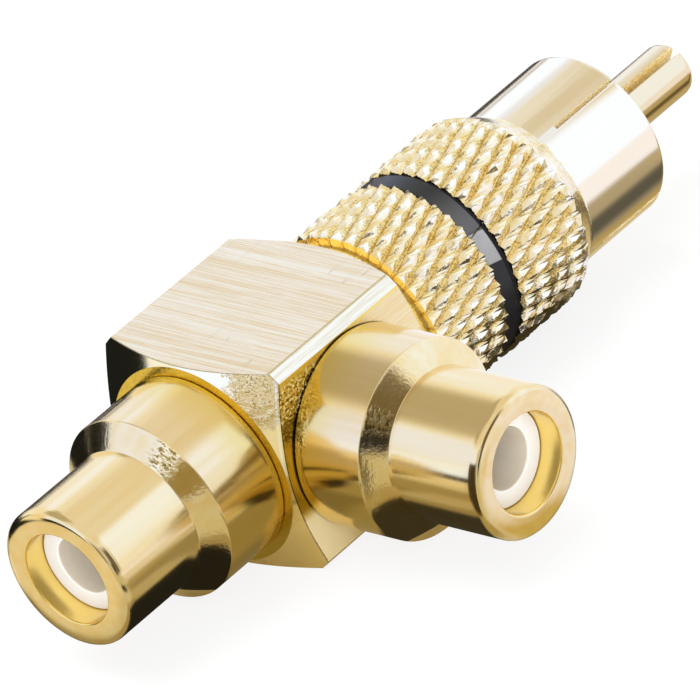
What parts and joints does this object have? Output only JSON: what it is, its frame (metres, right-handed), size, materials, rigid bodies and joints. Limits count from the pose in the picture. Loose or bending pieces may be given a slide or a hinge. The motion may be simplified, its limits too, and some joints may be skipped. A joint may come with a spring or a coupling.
{
  "type": "rca splitter adapter",
  "caption": "Gold plated phono splitter: a knurled plug with a slotted shell and split pin feeds two sockets at right angles through a square block.",
  "frame": {"origin": "centre of the plug shell's mouth, on the axis of the centre pin", "axes": "+Y along the plug's pin, out of its mouth; -Y out of the inline jack; +X out of the side jack; +Z the body face that lies upwards in use on a table"},
  "size_m": [0.0232, 0.0516, 0.012],
  "materials": {
    "body_gold": "gold plate over square brass bar, brushed across the flats",
    "turned_gold": "gold plate over turned brass, polished",
    "knurl_gold": "gold plate over a rolled diamond knurl",
    "contact_gold": "gold plate, satin",
    "band_plastic": "black, semi-gloss",
    "white_plastic": "white, slightly translucent",
    "washer_plastic": "ivory, matte",
    "lead_metal": "tinned",
    "solder_metal": "dull solder"
  },
  "bodies": {
    "root": {"body_block": "body_gold", "knurled_grip": "knurl_gold", "grip_band": "band_plastic", "plug_shell": "turned_gold", "plug_insulator": "white_plastic", "plug_pin": "turned_gold", "inline_jack_shell": "turned_gold", "inline_jack_insulator": "white_plastic", "inline_jack_contact": "contact_gold", "inline_rear_washer": "washer_plastic", "side_jack_shell": "turned_gold", "side_jack_insulator": "white_plastic", "side_jack_contact": "contact_gold", "side_rear_washer": "washer_plastic", "centre_rod": "contact_gold", "side_lead": "lead_metal", "centre_solder": "solder_metal"}
  },
  "joints": []
}
